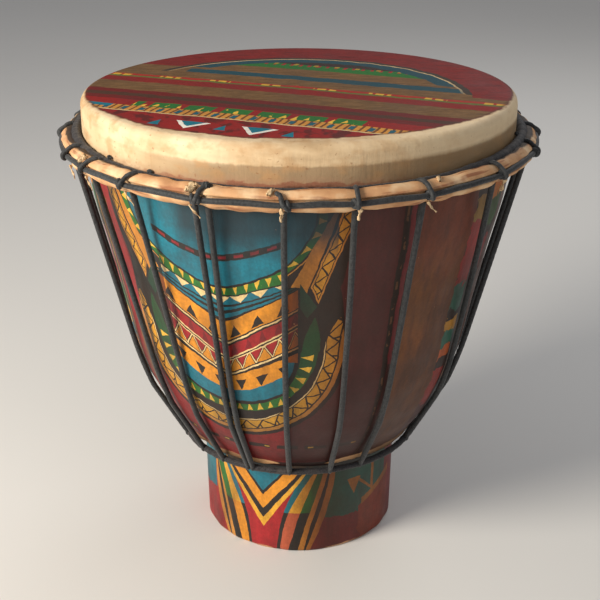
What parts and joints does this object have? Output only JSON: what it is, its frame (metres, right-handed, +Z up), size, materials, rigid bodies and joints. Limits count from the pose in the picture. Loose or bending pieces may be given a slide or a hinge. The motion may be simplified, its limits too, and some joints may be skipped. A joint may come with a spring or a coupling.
{
  "type": "goblet hand drum",
  "caption": "Goblet-shaped hand drum: carved and painted wooden shell, rope-laced goatskin head rolled round a hoop, on a short hollow foot.",
  "frame": {"origin": "centre of the foot's rim, where the drum stands", "axes": "+Z up along the drum's axis towards the head, -Y towards the front of the painted shell, +X to the right"},
  "size_m": [0.2922, 0.2918, 0.289],
  "materials": {
    "painted_wood": "carved hardwood, hand-painted, satin, worn to bare wood at the edges",
    "goatskin": "raw goatskin, dry and smooth, painted on the playing surface",
    "rope": "black braided polyester drum rope",
    "ring_wrap": "steel ring bound with thin black cloth",
    "hoop_steel": "plain round bar"
  },
  "bodies": {
    "drum": {"shell": "painted_wood", "head_skin": "goatskin", "bottom_ring": "ring_wrap", "lacing_run_01": "rope", "lacing_run_02": "rope", "lacing_run_03": "rope", "lacing_run_04": "rope", "lacing_run_05": "rope", "lacing_run_06": "rope", "lacing_run_07": "rope", "lacing_run_08": "rope", "lacing_run_09": "rope", "lacing_run_10": "rope", "lacing_run_11": "rope", "lacing_run_12": "rope", "lacing_run_13": "rope", "lacing_run_14": "rope", "lacing_run_15": "rope", "lacing_run_16": "rope", "lacing_run_17": "rope", "lacing_run_18": "rope", "lacing_run_19": "rope", "lacing_run_20": "rope", "lacing_run_21": "rope", "lacing_run_22": "rope"},
    "crown": {"crown_ring": "ring_wrap", "flesh_hoop": "hoop_steel", "girth_rope": "rope", "hide_ties": "goatskin", "hitch_01": "rope", "hitch_02": "rope", "hitch_03": "rope", "hitch_04": "rope", "hitch_05": "rope", "hitch_06": "rope", "hitch_07": "rope", "hitch_08": "rope", "hitch_09": "rope", "hitch_10": "rope", "hitch_11": "rope", "hitch_12": "rope", "hitch_13": "rope", "hitch_14": "rope", "hitch_15": "rope", "hitch_16": "rope", "hitch_17": "rope", "hitch_18": "rope", "hitch_19": "rope", "hitch_20": "rope", "hitch_21": "rope"}
  },
  "joints": [
    {"name": "tuning_slide", "type": "slide", "parent": "drum", "child": "crown", "axis": [0, 0, -1], "range_m": [0, 0.006], "deforming": ["head_skin", "lacing_run_01", "lacing_run_02", "lacing_run_03", "lacing_run_04", "lacing_run_05", "lacing_run_06", "lacing_run_07", "lacing_run_08", "lacing_run_09", "lacing_run_10", "lacing_run_11", "lacing_run_12", "lacing_run_13", "lacing_run_14", "lacing_run_15", "lacing_run_16", "lacing_run_17", "lacing_run_18", "lacing_run_19", "lacing_run_20", "lacing_run_21", "lacing_run_22"]}
  ]
}
